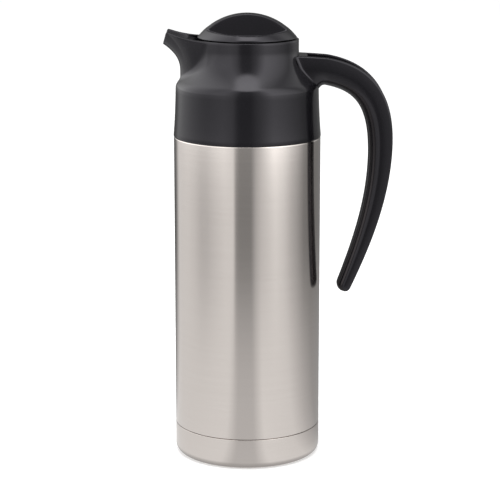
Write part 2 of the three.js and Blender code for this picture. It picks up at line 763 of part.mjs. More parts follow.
// Materials
const finish = (color, roughness, metalness) =>
  new THREE.MeshStandardMaterial({ color, roughness, metalness });
const brushed = finish(0xc6bfb8, 0.35, 1);
const polished = finish(0xcfccc6, 0.2, 1);
const black = finish(0x1d1c1d, 0.42, 0);
const blackInner = finish(0x151515, 0.55, 0);
const rubber = finish(0x2a2a2a, 0.8, 0);
const silicone = finish(0xd8d6cf, 0.7, 0);
const foam = finish(0xe6e0cf, 0.95, 0);
const bolt = finish(0x9a9a98, 0.35, 1);
const getterGrey = finish(0x6f7073, 0.8, 0.4);
const glass = finish(0x56605c, 0.25, 0);

const group = new THREE.Group();
function add(name, geometry, material) {
  const mesh = new THREE.Mesh(geometry, material);
  mesh.name = name;
  group.add(mesh);
}

add("base_cup", baseCup, brushed);
add("outer_shell", outerShell, brushed);
add("shell_bottom", shellBottom, polished);
add("seal_bead", sealBead, glass);
add("getter_capsule", getterCapsule, getterGrey);
add("getter_strap", closed(getterStrap), polished);
add("inner_liner", innerLiner, polished);
add("liner_bottom", linerBottom, polished);
add("neck_gasket", neckGasket, silicone);
add("collar_gasket", collarGasket, rubber);
add("neck_sleeve", neckSleeve, blackInner);
add("collar", collar, black);
add("handle", handle, black);
add("handle_screw_front", screw(-screwSpacing), bolt);
add("handle_screw_back", screw(screwSpacing), bolt);
add("plug_seal", plugSeal, silicone);
add("stopper_cup", stopperCup, blackInner);
add("stopper_foam", stopperFoam, foam);
add("lid_oring", lidOring, rubber);
add("lid_dome", lidDome, black);

export default group;
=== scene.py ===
# %% [markdown]
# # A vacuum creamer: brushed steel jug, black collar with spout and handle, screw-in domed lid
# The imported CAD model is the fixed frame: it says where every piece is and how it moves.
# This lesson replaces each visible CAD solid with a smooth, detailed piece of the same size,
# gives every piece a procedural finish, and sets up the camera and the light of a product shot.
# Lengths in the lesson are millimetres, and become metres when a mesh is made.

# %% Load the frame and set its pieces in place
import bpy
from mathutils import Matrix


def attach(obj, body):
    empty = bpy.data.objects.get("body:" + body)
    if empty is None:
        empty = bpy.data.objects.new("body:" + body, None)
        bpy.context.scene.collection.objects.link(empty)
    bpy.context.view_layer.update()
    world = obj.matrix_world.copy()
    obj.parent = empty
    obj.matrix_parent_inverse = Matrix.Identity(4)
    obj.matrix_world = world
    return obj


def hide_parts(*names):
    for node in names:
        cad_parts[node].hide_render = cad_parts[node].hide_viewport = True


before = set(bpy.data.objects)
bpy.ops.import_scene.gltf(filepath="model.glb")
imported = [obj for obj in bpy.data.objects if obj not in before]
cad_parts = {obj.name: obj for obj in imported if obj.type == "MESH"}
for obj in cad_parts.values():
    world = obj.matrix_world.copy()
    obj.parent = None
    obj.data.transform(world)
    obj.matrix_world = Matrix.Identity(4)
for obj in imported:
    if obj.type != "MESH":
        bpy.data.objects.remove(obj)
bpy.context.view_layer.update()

import math

import bmesh
import bpy
import numpy as np

MM = 0.001

# %% [markdown]
# ## Camera
# The jug is seen straight from its side, from a little above, through a long lens.
# A camera that looks down makes upright edges lean together, so it stands well back,
# and a small shift takes up part of the tilt that the framing needs.

# %% Camera
CAMERA_PLACE = (1.7, -1149.5, 382.0)
CAMERA_PITCH = 11.7
CAMERA_LENS = 136.3
CAMERA_SHIFT = -0.05

view = bpy.data.cameras.new("product_camera")
view.sensor_width = 36.0
view.lens = CAMERA_LENS
view.shift_y = CAMERA_SHIFT
view.clip_end = 100.0
camera = bpy.data.objects.new("product_camera", view)
camera.location = [length * MM for length in CAMERA_PLACE]
camera.rotation_euler = (math.radians(90 - CAMERA_PITCH), 0.0, 0.0)
bpy.context.collection.objects.link(camera)
bpy.context.scene.camera = camera
bpy.context.scene.view_settings.view_transform = "Standard"
print("camera at", CAMERA_PLACE, "mm, pitched down", CAMERA_PITCH, "degrees")

# %% [markdown]
# ## Writing node trees as sums
# A finish is a small network of nodes. Wiring it by hand is slow to read, so one class wraps
# a node's output and turns Python's operators into Math nodes: `grain * 0.5` adds a Multiply node.
# A second class holds the tree and adds any other node: type, settings first, then sockets.
# Geometry trees are written the same way further on.

# %% Wires, trees and finishes
def grey(level):
    return (level, level, level, 1.0)


class Wire:
    """An output socket that can be used in sums; every operator adds one Math node."""

    def __init__(self, tree, socket):
        self.tree = tree
        self.socket = socket

    def math(self, operation, *others):
        sockets = dict(enumerate((self, *others)))
        return self.tree.node("ShaderNodeMath", {"operation": operation}, sockets)

    def __add__(self, other):
        return self.math("ADD", other)

    def __sub__(self, other):
        return self.math("SUBTRACT", other)

    def __mul__(self, other):
        return self.math("MULTIPLY", other)

    def __truediv__(self, other):
        return self.math("DIVIDE", other)

    def __pow__(self, other):
        return self.math("POWER", other)


class Tree:
    """A node tree under construction; the names of its own node types start with a prefix."""

    def __init__(self, tree, prefix):
        self.tree = tree
        self.prefix = prefix

    def node(self, kind, settings=None, sockets=None, output=0):
        """Adds a node: its type, its settings, its sockets' values or links; gives back one output."""
        made = self.tree.nodes.new(kind if kind.startswith("ShaderNode") else self.prefix + kind)
        for key, value in (settings or {}).items():
            if key == "stops":
                self.set_stops(made.color_ramp, value)
            else:
                setattr(made, key, value)
        for key, value in (sockets or {}).items():
            self.feed(made.inputs[key], value)
        return Wire(self, made.outputs[output])

    def set_stops(self, ramp, stops):
        while len(ramp.elements) < len(stops):
            ramp.elements.new(0.5)
        for element, (place, level) in zip(ramp.elements, stops):
            element.position = place
            element.color = grey(level)

    def feed(self, socket, value):
        if isinstance(value, Wire):
            self.tree.links.new(value.socket, socket)
        else:
            socket.default_value = value


class Finish(Tree):
    """The tree of a material or of the world."""

    def __init__(self, owner):
        owner.use_nodes = True
        self.owner = owner
        super().__init__(owner.node_tree, "ShaderNode")

    def noise(self, scale, detail=3.0):
        """Cloud noise from 0 to 1 in the piece's own space; scale is in cells a metre along X, Y and Z."""
        own = self.node("TexCoord", output="Object")
        place = self.node("Mapping", sockets={"Vector": own, "Scale": scale})
        return self.node("TexNoise", sockets={"Vector": place, "Scale": 1.0, "Detail": detail})

    def blend(self, factor, first, second):
        """A colour between two others."""
        settings = {"data_type": "RGBA"}
        sockets = {0: factor, 6: (*first, 1.0), 7: (*second, 1.0)}
        return self.node("Mix", settings, sockets, output=2)

    def bump(self, height, strength, depth):
        """A Normal that makes a height pattern stand out; depth is in metres."""
        sockets = {"Strength": strength, "Distance": depth, "Height": height}
        return self.node("Bump", sockets=sockets)

    def shade(self, **sockets):
        """Sets the main shader's sockets by name, with underscores for spaces."""
        shader = self.tree.nodes["Principled BSDF"]
        for key, value in sockets.items():
            self.feed(shader.inputs[key.replace("_", " ")], value)
        return self.owner


def new_finish(name):
    return Finish(bpy.data.materials.new(name))


print("finish tools ready")

# %% [markdown]
# ## Brushed steel
# The jug's steel is ground round and round, so its scratches run along the belt.
# They blur what it mirrors up and down, and leave it fairly sharp from side to side.
# The shader's anisotropy does that, turned a quarter so that the blur stands upright.
# Noise that is long round the body and very short along its height draws the scratches.

# %% Brushed steel finish
def brushed_steel():
    made = new_finish("brushed_steel")
    fine = made.noise((28.0, 28.0, 3600.0), detail=3.0)
    broad = made.noise((9.0, 9.0, 700.0), detail=2.0)
    grain = fine * 0.65 + broad * 0.35
    colour = made.blend(grain, (0.656, 0.605, 0.570), (0.716, 0.665, 0.630))
    return made.shade(
        Base_Color=colour,
        Metallic=1.0,
        Roughness=grain * 0.06 + 0.12,
        Anisotropic=0.75,
        Anisotropic_Rotation=0.25,
        Normal=made.bump(grain, 0.03, 0.0002),
    )


STEEL = brushed_steel()
print("finish:", STEEL.name)

# %% [markdown]
# ## Turned pieces
# The base, the shell, the liner and the rings are all turned: one outline swept about the axis.
# A short Geometry Nodes tree does it for all of them. It lays a grid with one row for each
# outline point, looks up the outline's point for each row, and turns each column by its share.

# %% Geometry trees
class Shaper(Tree):
    """A geometry tree with its own named inputs, one of them the finish of what it makes."""

    def __init__(self, name, inputs):
        super().__init__(bpy.data.node_groups.new(name, "GeometryNodeTree"), "GeometryNode")
        for way in ("INPUT", "OUTPUT"):
            self.tree.interface.new_socket("Geometry", in_out=way, socket_type="NodeSocketGeometry")
        for label, kind in inputs.items():
            self.tree.interface.new_socket(label, in_out="INPUT", socket_type="NodeSocket" + kind)
        self.given = self.tree.nodes.new("NodeGroupInput").outputs

    def take(self, *labels):
        return [Wire(self, self.given[label]) for label in labels]

    def end(self, geometry):
        whole = self.node("RealizeInstances", sockets={"Geometry": geometry})
        painted = self.node("SetMaterial", sockets={"Geometry": whole, "Material": self.take("Finish")[0]})
        self.feed(self.tree.nodes.new("NodeGroupOutput").inputs[0], painted)
        return self.tree


print("geometry tools ready")

# %% The turning tree
def turning_tree():
    tree = Shaper("turned_piece", {"Columns": "Int", "Finish": "Material"})
    outline, columns = tree.take("Geometry", "Columns")
    rows = tree.node("AttributeDomainSize", sockets={"Geometry": outline}, output="Point Count")
    grid = tree.node("MeshGrid", sockets={"Vertices X": columns + 1.0, "Vertices Y": rows})
    index = tree.node("InputIndex")
    column = ((index + 0.5) / rows).math("FLOOR")
    point = tree.node("SampleIndex", {"data_type": "FLOAT_VECTOR"}, {
        "Geometry": outline, "Value": tree.node("InputPosition"), "Index": index - column * rows})
    turned = tree.node("ShaderNodeVectorRotate", {"rotation_type": "Z_AXIS"}, {
        "Vector": point, "Angle": column / columns * (2 * math.pi)})
    placed = tree.node("SetPosition", sockets={"Geometry": grid, "Position": turned})
    return tree.end(tree.node("MergeByDistance", sockets={"Geometry": placed, "Distance": 2e-6}))


TURNING = turning_tree()
print("turning tree nodes:", len(TURNING.nodes))

# %% [markdown]
# ## Outlines with rounded corners
# Pressed steel and moulded plastic have no knife edges: every corner has a small radius,
# and it is that radius that catches the light. An outline is written as its corners,
# each with a radius, and the helper swaps every corner for an arc.

# %% Outline, mesh and body helpers
def rounded(corners, closed=True, steps=5):
    """Corner points (radius, height, corner radius) to a polyline with an arc at each corner."""
    made = []
    spots = [np.array(corner[:2], float) for corner in corners]
    for i, corner in enumerate(corners):
        bend = corner[2] if len(corner) > 2 else 0.0
        ends = not closed and i in (0, len(corners) - 1)
        if bend == 0.0 or ends:
            made.append(spots[i])
            continue
        back = spots[i - 1] - spots[i]
        ahead = spots[(i + 1) % len(spots)] - spots[i]
        reach = min(bend, 0.48 * np.linalg.norm(back), 0.48 * np.linalg.norm(ahead))
        start = spots[i] + back / np.linalg.norm(back) * reach
        stop = spots[i] + ahead / np.linalg.norm(ahead) * reach
        for t in np.linspace(0, 1, steps + 1):
            made.append((1 - t) ** 2 * start + 2 * t * (1 - t) * spots[i] + t ** 2 * stop)
    if closed:
        made.append(made[0])
    return np.array(made)


def curve(points, steps):
    """Points of a smooth curve through its guides, with three or four of them."""
    t = np.linspace(0, 1, steps + 1)[:, None]
    p = [np.array(point, float) for point in points]
    if len(p) == 3:
        return (1 - t) ** 2 * p[0] + 2 * t * (1 - t) * p[1] + t ** 2 * p[2]
    return (1 - t) ** 3 * p[0] + 3 * t * (1 - t) ** 2 * p[1] + 3 * t ** 2 * (1 - t) * p[2] + t ** 3 * p[3]


def arc(centre, radius, start, stop, count):
    """Points about a centre; an angle of 0 is straight down, a quarter turn is level."""
    angles = np.linspace(start, stop, count)
    return [(centre[0] + radius * math.sin(a), centre[1] - radius * math.cos(a)) for a in angles]


def beside(line, distance):
    """A copy of an open line moved to its right by a distance."""
    along = np.gradient(line, axis=0)
    along /= np.linalg.norm(along, axis=1)[:, None]
    return line + distance * np.stack([along[:, 1], -along[:, 0]], 1)


def tidy_mesh(mesh, crease=38.0):
    """Joins doubles, turns faces outward, and shades smooth up to a crease angle."""
    work = bmesh.new()
    work.from_mesh(mesh)
    bmesh.ops.remove_doubles(work, verts=work.verts, dist=2e-6)
    bmesh.ops.dissolve_degenerate(work, edges=work.edges, dist=1e-7)
    bmesh.ops.recalc_face_normals(work, faces=work.faces)
    work.to_mesh(mesh)
    work.free()
    mesh.shade_smooth()
    mesh.set_sharp_from_angle(angle=math.radians(crease))


def dress(piece, body, slot, *nodes):
    """Puts a finished piece on its body, in place of its CAD nodes; the material slot it is given is not
    used.
    """
    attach(piece, body)
    if nodes:
        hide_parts(*nodes)
    print(f"{piece.name}: {len(piece.data.polygons)} faces on {body}")


def from_tree(name, mesh, tree, values):
    """Runs a geometry tree on a mesh and keeps the result as a plain mesh object at the origin."""
    piece = bpy.data.objects.new(name, mesh)
    bpy.context.collection.objects.link(piece)
    run = piece.modifiers.new("make", "NODES")
    run.node_group = tree
    for item in tree.interface.items_tree:
        if item.in_out == "INPUT" and item.name in values:
            run[item.identifier] = values[item.name]
    piece.update_tag()
    made = bpy.data.meshes.new_from_object(piece.evaluated_get(bpy.context.evaluated_depsgraph_get()))
    piece.modifiers.clear()
    piece.data = made
    made.name = name
    return piece


def turned_piece(name, outline, finish, columns=144):
    mesh = bpy.data.meshes.new(name + "_outline")
    mesh.from_pydata([(r * MM, 0.0, z * MM) for r, z in outline], [], [])
    piece = from_tree(name, mesh, TURNING, {"Columns": columns, "Finish": finish})
    tidy_mesh(piece.data)
    return piece


print("outline and mesh helpers ready")

# %% [markdown]
# ## Base cup
# The foot of the jug is a pressed steel cup with a rounded edge. Its bottom stands on a ring,
# with a flat disc in the middle, and its top edge stops a hair below the body's wall:
# that narrow gap is the dark line round the jug.

# %% Base cup
BODY_RADIUS = 45.0
SHELL_WALL = 0.6
BASE_TOP = 18.9
BASE_CORNER = 5.0
cup_floor = [(0, 0), (18, 0, 0.8), (20, 1.5, 0.8), (32, 1.5, 0.8), (34, 0, 0.8), (40, 0)]
cup_centre = (BODY_RADIUS - BASE_CORNER, BASE_CORNER)
cup_edge = arc(cup_centre, BASE_CORNER, 0.08, 1.571, 14)
cup_top = [(BODY_RADIUS, BASE_TOP, 0.28), (BODY_RADIUS - SHELL_WALL, BASE_TOP, 0.2)]
cup_inner = arc(cup_centre, BASE_CORNER - SHELL_WALL, 1.571, 0.08, 10)
cup_back = [(34, 0.6), (32, 2.1), (20, 2.1), (18, 0.6), (0, 0.6)]
base_line = rounded(cup_floor + cup_edge + cup_top + cup_inner + cup_back, closed=False)
dress(turned_piece("steel_base_cup", base_line, STEEL, columns=192), "vessel", "brushed_steel", "base_cup")

# %% [markdown]
# ## Outer shell
# The body is a straight steel tube. Its foot is stepped in to stand inside the base cup,
# its top is stepped in under the collar, and above that a drawn shoulder leads to the neck.
# Only the straight part shows, but a part that comes apart is finished all the way.

# %% Outer shell
SEAM_Z = 19.3
STEP_Z = 200.2
NECK_RADIUS = 24.3
shoulder = curve([(43.2, 205.2), (43.2, 219.5), (NECK_RADIUS, 215.1), (NECK_RADIUS, 227.2)], 20)
shell_wall = [(44.1, 6, 0.2), (44.1, SEAM_Z, 0.15), (BODY_RADIUS, SEAM_Z, 0.32)]
shell_top = [(BODY_RADIUS, STEP_Z, 0.9), (43.2, STEP_Z, 0.5)]
neck_bead = [(NECK_RADIUS, 231.0, 0.2), (25.0, 231.8, 0.3), (25.0, 232.6, 0.3), (NECK_RADIUS, 233.4, 0.2)]
neck_top = [(NECK_RADIUS, 237.2, 0.2), (NECK_RADIUS - SHELL_WALL, 237.2, 0.2)]
shell_back = [(42.6, STEP_Z - 0.6), (44.4, STEP_Z - 1.2), (44.4, SEAM_Z + 1.2), (43.5, SEAM_Z + 0.6),
              (43.5, 6, 0.2)]
shell_line = rounded(shell_wall + shell_top + shoulder.tolist() + neck_bead + neck_top
                     + beside(shoulder, -SHELL_WALL)[::-1].tolist() + shell_back)
dress(turned_piece("steel_shell", shell_line, STEEL, columns=192), "vessel", "brushed_steel", "outer_shell")

# %% [markdown]
# ## Liner steel
# The inside of a vacuum jug is left smooth and only lightly brushed, so that it rinses clean.
# Its finish is brighter and even, with faint rings left from the drawing of the sheet.

# %% Liner steel and the liner
def liner_steel():
    made = new_finish("liner_steel")
    rings = made.noise((6.0, 6.0, 900.0), detail=2.0)
    cloud = made.noise((60.0, 60.0, 60.0), detail=2.0)
    colour = made.blend(rings * 0.6 + cloud * 0.4, (0.60, 0.585, 0.56), (0.70, 0.685, 0.66))
    return made.shade(Base_Color=colour, Metallic=1.0, Roughness=rings * 0.1 + 0.2,
                      Normal=made.bump(rings, 0.04, 0.0002))


LINER_STEEL = liner_steel()
LINER_WALL = 0.5
liner_curve = curve([(39.7, 199.2), (39.7, 213.5), (22.0, 209.1), (22.0, 221.2)], 20)
liner_line = rounded([(39.7, 26.1)] + liner_curve.tolist() + [(22.0, 237.8, 0.4), (NECK_RADIUS, 237.8, 0.2)]
                     + [(NECK_RADIUS, 237.3), (22.5, 237.3)]
                     + beside(liner_curve, LINER_WALL)[::-1].tolist() + [(40.2, 26.1)])
dress(turned_piece("steel_liner", liner_line, LINER_STEEL), "vessel", "liner_steel", "inner_liner")

DISH_CENTRE, DISH_RADIUS = (28.2, 24.6), 11.5
dish = arc(DISH_CENTRE, DISH_RADIUS, 0, math.pi / 2, 14)
dish_back = arc(DISH_CENTRE, DISH_RADIUS + LINER_WALL, math.pi / 2, 0, 14)
bottom_line = [(0, 13.1)] + dish + [(39.7, 26.0), (40.2, 26.0)] + dish_back + [(0, 12.6)]
dress(turned_piece("steel_liner_bottom", bottom_line, LINER_STEEL), "vessel", "liner_steel", "liner_bottom")

# %% [markdown]
# ## Satin black plastic
# Collar, handle and lid are moulded in one black plastic with a satin skin: a very fine grain
# from the etched mould that breaks up reflections, and faint clouds where it was polished by hands.

# %% Satin plastic finishes
def satin_plastic(name, dark, light, roughness):
    made = new_finish(name)
    grain = made.noise((2600.0, 2600.0, 2600.0), detail=2.0)
    cloud = made.noise((55.0, 55.0, 55.0), detail=3.0)
    return made.shade(
        Base_Color=made.blend(cloud, dark, light),
        Roughness=cloud * 0.06 + (roughness - 0.03) + (grain - 0.5) * 0.04,
        Specular_IOR_Level=0.42,
        Specular_Tint=(0.96, 0.93, 1.0, 1.0),
        Normal=made.bump(grain, 0.05, 0.0001),
    )


BLACK_PLASTIC = satin_plastic("black_plastic", (0.0036, 0.0034, 0.0046), (0.0052, 0.0049, 0.0064), 0.16)
INNER_PLASTIC = satin_plastic("inner_plastic", (0.0080, 0.0080, 0.0082), (0.0120, 0.0118, 0.0120), 0.46)
print("finishes:", BLACK_PLASTIC.name, INNER_PLASTIC.name)

# %% [markdown]
# ## Collar with spout: the rule of its shape
# The collar is one moulding: a skirt as wide as the body, a rounded shoulder, a flare up to
# a straight neck, and a spout that grows out of the neck. A mesh of columns round the axis
# holds it all: in each column the wall stands where the turned outline or the spout reaches
# furthest, with a soft blend where they meet, and the rim follows the spout's lip up and out.

# %% Outline of the collar's outside
RIM_Z = 259.9
NECK_OUT = 31.5
GALLERY = 29.3
RIM_ROUND = 0.8
EDGE_Z = RIM_Z - RIM_ROUND
SHOULDER_FOOT = (43.74, 230.2)
FLARE_FOOT = (41.4, 234.5)
skirt_edge = np.array([(44.75, 200.3), (44.95, 200.33), (45.1, 200.45), (45.18, 200.65)])
collar_out = np.concatenate([
    skirt_edge,
    curve([(45.2, 200.95), (44.1, 213.0), SHOULDER_FOOT], 12),
    curve([SHOULDER_FOOT, (43.6, 232.4), FLARE_FOOT], 14)[1:],
    curve([FLARE_FOOT, (34.7, 240.8), (NECK_OUT, 245.6), (NECK_OUT, 253.8)], 30)[1:],
    np.array([(NECK_OUT, z) for z in np.linspace(254.6, EDGE_Z, 6)]),
])


def collar_radius(z):
    return np.interp(z, collar_out[:, 1], collar_out[:, 0])


print("points on the collar's outline:", len(collar_out))

# %% The spout's trough as a fan of U sections
SPOUT_ROOT = 23.2
SPOUT_TIP = 49.0
ROOT_HALF = 21.3
LIP_HALF = 10.7
SPOUT_RISE = 5.0
SPOUT_WALL = 2.2
KEEL_RADIUS = 18.6
KEEL_X = 59.2
KEEL_Z = 239.96
KEEL_END = math.radians(64.2)
KEEL_START = 0.16
ROOT_ROUNDNESS = 1.35
LIP_ROUNDNESS = 1.15


def spout_fan(t, inset):
    """At a station t along the spout: rim point, keel point, half width and roundness: x, z, x, z, y, n."""
    out = np.maximum(t, 0)
    rim_x = SPOUT_ROOT + (SPOUT_TIP - SPOUT_ROOT) * t
    a = KEEL_START + (KEEL_END - KEEL_START) * out
    keel_x = KEEL_X - (KEEL_RADIUS + inset) * np.cos(a) + 20 * np.minimum(t, 0)
    keel_z = KEEL_Z + (KEEL_RADIUS + inset) * np.sin(a)
    half = ROOT_HALF + (LIP_HALF - ROOT_HALF) * t - inset
    roundness = np.interp(t, [0.4, 0.6], [ROOT_ROUNDNESS, LIP_ROUNDNESS])
    return rim_x, RIM_Z + SPOUT_RISE * out ** 2, keel_x, keel_z, half, roundness


def halve(low, high, test, steps=26):
    """Closes two bounds in on the place where a test turns from true to false."""
    for _ in range(steps):
        middle = (low + high) / 2
        held = test(middle)
        low, high = np.where(held, middle, low), np.where(held, high, middle)
    return low, high


def in_trough(x, y, z, inset):
    """True where a point lies in the trough that a spout wall as thick as the inset leaves."""
    def behind(t):
        rx, rz, kx, kz, _, _ = spout_fan(t, inset)
        return (kx - rx) * (z - rz) - (kz - rz) * (x - rx) > 0

    t, _ = halve(-1.6, 1.35, behind)
    rx, rz, kx, kz, half, n = spout_fan(t, inset)
    s = ((x - rx) * (kx - rx) + (z - rz) * (kz - rz)) / ((kx - rx) ** 2 + (kz - rz) ** 2)
    return (np.abs(y) / half) ** n + np.maximum(s, 0) ** n < 1


def trough_radius(angle, z, inset):
    """How far the trough reaches from the axis at an angle from its middle and a height; 0 if it doesn't."""
    def reaches(r):
        return in_trough(r * np.cos(angle), r * np.sin(angle), z, inset)

    radius, _ = halve(22.0, 62.0, reaches)
    return np.where(reaches(22.0) & (np.cos(angle) > 0.4), radius, 0.0)


def soft_max(a, b, width):
    return np.maximum(a, b) + np.maximum(width - np.abs(a - b), 0) ** 2 / (4 * width)


print("the spout reaches past the neck by", SPOUT_TIP - NECK_OUT, "mm")

# %% The spout's outside as upright profiles
SPOUT_SPREAD = math.radians(42.4)
SPOUT_FOOT_Z, SPOUT_FOOT_RISE = 237.4, 14.6
SPOUT_BEND_Z = 240.0
KEEL_PROUD, KEEL_SPREAD = 2.4, math.radians(12)
FOOT_POWER, WALL_POWER = 2.5, 2.35
SPOUT_SINK, SPOUT_BLEND = 12, 2.2


def spout_wall(angle, z, top_r, top_z):
    """Radius of the spout's outside in columns with given tops; beside the spout it sinks into the neck."""
    wide = np.minimum(angle / SPOUT_SPREAD, 1)
    foot_z = SPOUT_FOOT_Z + SPOUT_FOOT_RISE * wide ** FOOT_POWER
    foot_r = collar_radius(foot_z) + KEEL_PROUD * np.exp(-(angle / KEEL_SPREAD) ** 2)
    bend_z = np.maximum(foot_z, SPOUT_BEND_Z)
    rise = np.clip((z - bend_z) / (top_z - bend_z), 0, None)
    return foot_r + (top_r - foot_r) * rise ** WALL_POWER - SPOUT_SINK * np.maximum(angle - SPOUT_SPREAD, 0)


print("the spout takes up", round(2 * math.degrees(SPOUT_SPREAD), 1), "degrees of the neck")

# %% Columns of the collar: lip of the spout, its sides, then the neck
END_T = 1 - RIM_ROUND / (SPOUT_TIP - SPOUT_ROOT)
BLUNT, BLUNT_SPREAD = 0.0617, 0.07


def polar(r, angle, z):
    """Points at a distance from the axis, an angle and a height."""
    return np.stack(np.broadcast_arrays(r * np.cos(angle), r * np.sin(angle), z), -1)


def lip_points(a, inset):
    rx, rz, kx, kz, half, n = spout_fan(END_T, inset)
    s = np.sin(a) ** (2 / n)
    return np.stack([rx + (kx - rx) * s, half * np.cos(a) ** (2 / n), rz + (kz - rz) * s], 1)


lip_angle = np.linspace(math.pi / 2, 0, 19)
corner = np.clip(1 - lip_angle / math.radians(28), 0, 1) ** 2
side_t = np.linspace(END_T, 0, 38)[1:]
rx, rz, _, _, half, _ = spout_fan(side_t, 0.0)
side_out = np.stack([rx, half, rz - RIM_ROUND], 1)
path = np.array([SPOUT_TIP - SPOUT_ROOT, LIP_HALF - ROOT_HALF])
inward = np.array([path[1], -path[0]]) / np.linalg.norm(path)
side_in = side_out + np.array([inward[0] * SPOUT_WALL, inward[1] * SPOUT_WALL, 0.0])
neck_start = math.atan2(side_out[-1, 1], side_out[-1, 0])
neck_angle = np.linspace(neck_start, math.pi, 90)[1:]
neck_out = polar(NECK_OUT, neck_angle, EDGE_Z)
neck_in_angle = neck_angle + (math.atan2(side_in[-1, 1], side_in[-1, 0]) - neck_start) * \
    np.clip(1 - (neck_angle - neck_start) / 0.25, 0, 1)
neck_in = polar(GALLERY, neck_in_angle, EDGE_Z)
end_in = lip_points(lip_angle, SPOUT_WALL)
end_in[:, 2] -= RIM_ROUND * corner

# The lip's outer edge lies where the spout's sides, run on to a blunt point,
# meet the slanted plane of the mouth.
end_out = lip_points(lip_angle, 0.0)
corner_x, corner_y, corner_z = end_out[-1] - np.array([0.0, 0.0, RIM_ROUND])
lean = (end_out[0, 0] - corner_x) / (corner_z - end_out[0, 2])
way = np.arctan2(end_out[:, 1], end_out[:, 0])
blunt = np.sin(way) + BLUNT * np.exp(-(way / BLUNT_SPREAD) ** 2)
point_r = (corner_y * path[0] - corner_x * path[1]) / (path[0] * blunt - path[1] * np.cos(way))


def inside_mouth(z):
    return spout_wall(way, z, point_r, corner_z) * np.cos(way) <= corner_x + (corner_z - z) * lean


lip_z, _ = halve(245.0, corner_z + 1, inside_mouth, steps=30)
end_out = polar(spout_wall(way, lip_z, point_r, corner_z), way, lip_z)
edge_out = np.concatenate([end_out, side_out, neck_out])
edge_in = np.concatenate([end_in, side_in, neck_in])
upward = np.array([0.0, 0.0, 1.0])
outward = np.array([0.969, 0.0, 0.248])
ups = np.concatenate([outward + (upward - outward) * corner[:, None],
                      np.tile(upward, (len(side_out) + len(neck_out), 1))])
ups /= np.linalg.norm(ups, axis=1)[:, None]
angle_out = np.arctan2(edge_out[:, 1], edge_out[:, 0])
angle_in = np.arctan2(edge_in[:, 1], edge_in[:, 0])
print("collar columns on one side:", len(edge_out))

# %% Rows of the collar: outside, rim, trough and gallery, ledge and hollow
STRETCH_Z = 222.0
share = np.clip((collar_out[:, 1] - STRETCH_Z) / (EDGE_Z - STRETCH_Z), 0, 1)
z_out = collar_out[:, 1][:, None] + share[:, None] * (edge_out[:, 2] - EDGE_Z)[None, :]
edge_far = np.hypot(edge_out[:, 0], edge_out[:, 1])
r_out = soft_max(collar_radius(z_out), spout_wall(angle_out, z_out, edge_far, edge_out[:, 2]),
                 SPOUT_BLEND)
outside = polar(r_out, angle_out, z_out)

roll = np.linspace(0, math.pi, 11)[1:-1]
middle, reach = (outside[-1] + edge_in) / 2, (outside[-1] - edge_in) / 2
rim = np.stack([middle + reach * np.sign(math.cos(a)) * abs(math.cos(a)) ** 0.75
                + ups * RIM_ROUND * math.sin(a) ** 0.75 for a in roll])

LEDGE_Z = 239.9
gallery_x, gallery_y, _ = polar(GALLERY, angle_in, LEDGE_Z).T
_, floor_z = halve(LEDGE_Z + 0.6, edge_in[:, 2], lambda z: ~in_trough(gallery_x, gallery_y, z, SPOUT_WALL))
floor_z = np.minimum(floor_z, edge_in[:, 2] - 0.4)
fall = np.linspace(0, 1, 22)[:, None]
z_in = edge_in[:, 2] - (edge_in[:, 2] - floor_z - 0.02) * fall
trough = np.maximum(trough_radius(np.broadcast_to(angle_in, z_in.shape), z_in, SPOUT_WALL), GALLERY)
edge_r = np.hypot(edge_in[:, 0], edge_in[:, 1])
trough = np.where(fall < 0.001, edge_r, trough)
inside = polar(trough, angle_in, z_in)


def ring_rows(points, angles):
    """Plain turned rows of a list of radius and height points, at the given column angles."""
    return np.stack([polar(r, angles, z) for r, z in points])


gallery = np.stack([polar(GALLERY, angle_in, floor_z + (LEDGE_Z + 0.5 - floor_z) * t)
                    for t in np.linspace(0, 1, 6)])
ledge = ring_rows([(29.22, 240.15), (28.9, 239.95), (28.6, 239.9), (27.2, 239.9), (27.1, 239.8),
                   (27.1, 237.5), (27.2, 237.4)], angle_in)
hollow_line = beside(collar_out, -2.0)
hollow_line = hollow_line[(hollow_line[:, 1] < 236.9) & (hollow_line[:, 1] > 207)][::-2]
hollow = ring_rows([(hollow_line[0, 0] - 1, 237.4)] + hollow_line.tolist()
                   + [(43.5, 206.3), (43.5, 200.4), (43.6, 200.3)], angle_out)
half_collar = np.concatenate([outside, rim, inside, gallery, ledge, hollow])
print("collar rows:", len(half_collar))

# %% [markdown]
# ## Skinning a grid
# Collar, handle and lid are all grids of points: rows along the piece, columns round it.
# One helper joins neighbouring points into faces and closes the seams by merging points
# that fall together. The collar's columns are made for one side, and mirrored for the other.

# %% Skin a grid of points
def quads(below, above):
    """Faces between rows of point numbers and the rows above them; columns close round."""
    return np.stack([below, np.roll(below, -1, 1), np.roll(above, -1, 1), above], 2).reshape(-1, 4).tolist()


def solid_piece(name, points, faces, finish, crease=38.0):
    """A mesh object over points in mm."""
    mesh = bpy.data.meshes.new(name)
    mesh.from_pydata((points * MM).tolist(), [], faces)
    mesh.materials.append(finish)
    tidy_mesh(mesh, crease)
    piece = bpy.data.objects.new(name, mesh)
    bpy.context.collection.objects.link(piece)
    return piece


def skin(name, rows, finish, loop=False):
    """A piece over rows x columns x 3 points; columns close round, rows too if loop."""
    count, columns = rows.shape[:2]
    index = np.arange(count * columns).reshape(count, columns)
    below = index if loop else index[:-1]
    above = np.roll(index, -1, axis=0) if loop else index[1:]
    return solid_piece(name, rows.reshape(-1, 3), quads(below, above), finish)


half_collar[:, :, 0] *= -1
other_half = half_collar[:, -2:0:-1] * np.array([1.0, -1.0, 1.0])
dress(skin("black_collar", np.concatenate([half_collar, other_half], 1), BLACK_PLASTIC, loop=True),
      "vessel", "black_plastic", "collar")

